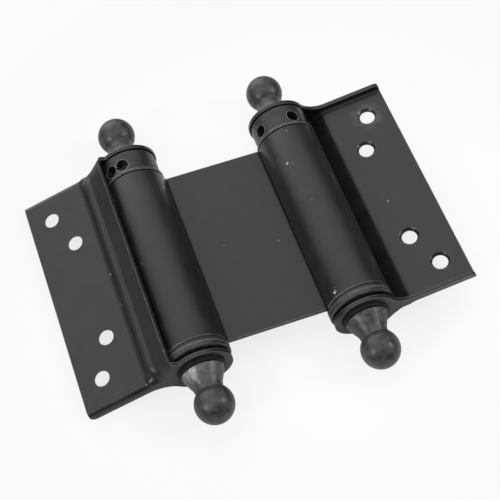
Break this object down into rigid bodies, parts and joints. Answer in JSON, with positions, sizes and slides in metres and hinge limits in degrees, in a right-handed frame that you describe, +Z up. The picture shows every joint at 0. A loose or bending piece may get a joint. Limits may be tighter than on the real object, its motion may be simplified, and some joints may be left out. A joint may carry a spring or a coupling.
{
  "type": "double action cafe hinge",
  "caption": "Double acting spring hinge: a folded centre sheet with a rolled spring barrel on each side, a flanged screw leaf on each barrel, tension collars and ball tips.",
  "frame": {"origin": "on the table that the hinge lies on, under the middle of its overall size", "axes": "+X across the hinge from the left leaf to the right one, +Y along the barrels towards the tension collars, +Z up from the table"},
  "size_m": [0.1205, 0.1108, 0.0198],
  "materials": {
    "coated_sheet": "satin powder coat",
    "coated_collar": "satin powder coat",
    "coated_tip": "rough powder coat",
    "coated_washer": "satin powder coat",
    "bare_steel": "drawn, lightly oiled"
  },
  "bodies": {
    "center": {"center_plate": "coated_sheet", "left_plug": "coated_collar", "left_plug_pin": "coated_collar", "left_spring": "bare_steel", "right_plug": "coated_collar", "right_plug_pin": "coated_collar", "right_spring": "bare_steel"},
    "left_leaf": {"left_leaf": "coated_sheet", "left_spindle": "bare_steel", "left_near_tip": "coated_tip", "left_far_tip": "coated_tip", "left_near_washer": "coated_washer", "left_far_washer": "coated_washer"},
    "left_collar": {"left_collar": "coated_collar"},
    "right_leaf": {"right_leaf": "coated_sheet", "right_spindle": "bare_steel", "right_near_tip": "coated_tip", "right_far_tip": "coated_tip", "right_near_washer": "coated_washer", "right_far_washer": "coated_washer"},
    "right_collar": {"right_collar": "coated_collar"}
  },
  "joints": [
    {"name": "left_leaf_swing", "type": "hinge", "parent": "center", "child": "left_leaf", "pos_m": [-0.0252, 0, 0.0099], "axis": [0, -1, 0], "range_deg": [-129.7, 161]},
    {"name": "left_collar_turn", "type": "hinge", "parent": "center", "child": "left_collar", "pos_m": [-0.0252, 0, 0.0099], "axis": [0, 1, 0], "range_deg": [0, 270], "stiffness_Nm_per_rad": 0.14, "deforming": ["left_spring"]},
    {"name": "right_leaf_swing", "type": "hinge", "parent": "center", "child": "right_leaf", "pos_m": [0.0252, 0, 0.0099], "axis": [0, -1, 0], "range_deg": [-120, 170.7]},
    {"name": "right_collar_turn", "type": "hinge", "parent": "center", "child": "right_collar", "pos_m": [0.0252, 0, 0.0099], "axis": [0, 1, 0], "range_deg": [0, 270], "stiffness_Nm_per_rad": 0.14, "deforming": ["right_spring"]}
  ]
}
